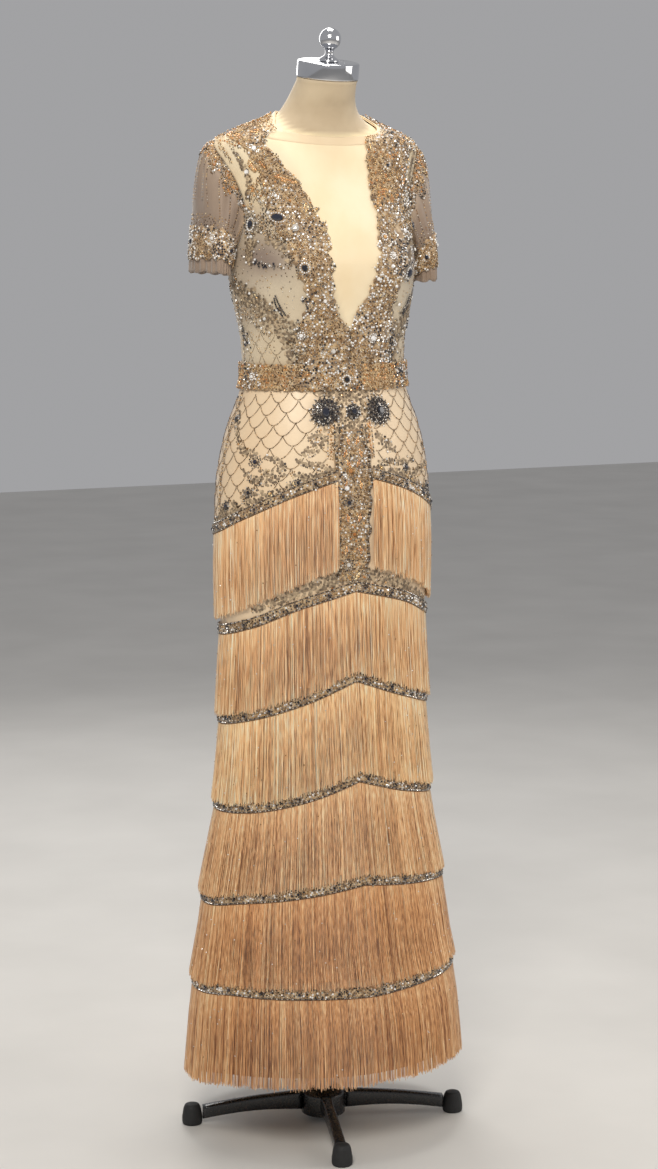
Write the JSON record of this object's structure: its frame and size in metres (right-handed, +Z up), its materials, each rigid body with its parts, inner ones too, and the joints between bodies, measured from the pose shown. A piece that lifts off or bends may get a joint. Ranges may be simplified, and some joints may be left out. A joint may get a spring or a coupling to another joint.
{
  "type": "beaded fringe gown on a limbless dress form with a stand",
  "caption": "Short-sleeved beaded gown with tiers of straight fringe, worn by a limbless dress form that stands on a low splayed base",
  "frame": {"origin": "on the floor under the pole, at the centre of the box of the whole part", "axes": "+Z up, the gown's front faces -Y, the wearer's left is +X"},
  "size_m": [0.435, 0.4208, 1.6564],
  "materials": {
    "form": "cream jersey cover over a padded form",
    "chrome": "polished",
    "steel": "satin tube",
    "black_enamel": "black gloss enamel on cast iron",
    "rubber": "matt black rubber caps",
    "net": "sheer stretch net, skin-toned to greyish mauve",
    "lining": "ivory woven lining under net",
    "fringe": "lustrous copper-gold rayon chainette fringe",
    "beadwork": "bronze and gold seed beads with clear, amber and dark faceted stones"
  },
  "bodies": {
    "root": {"form_torso": "form", "neck_cap": "chrome", "neck_finial": "chrome", "stand_pole": "steel", "stand_hub": "black_enamel", "stand_leg_1": "black_enamel", "stand_leg_2": "black_enamel", "stand_leg_3": "black_enamel", "stand_leg_4": "black_enamel", "stand_foot_1": "rubber", "stand_foot_2": "rubber", "stand_foot_3": "rubber", "stand_foot_4": "rubber", "bodice_front": "net", "bodice_back_left": "net", "bodice_back_right": "net", "sleeve_left": "net", "sleeve_right": "net", "skirt_front": "lining", "skirt_back_left": "lining", "skirt_back_right": "lining", "fringe_1": "fringe", "fringe_2": "fringe", "fringe_3": "fringe", "fringe_4": "fringe", "fringe_5": "fringe", "fringe_6": "fringe", "trim_band_1": "beadwork", "trim_band_2": "beadwork", "trim_band_3": "beadwork", "trim_band_4": "beadwork", "trim_band_5": "beadwork", "trim_band_6": "beadwork", "belt": "beadwork", "cuff_left": "beadwork", "cuff_right": "beadwork", "centre_panel": "beadwork", "applique_left": "beadwork", "applique_right": "beadwork", "rosette_left": "beadwork", "rosette_centre": "beadwork", "rosette_right": "beadwork"}
  },
  "joints": []
}
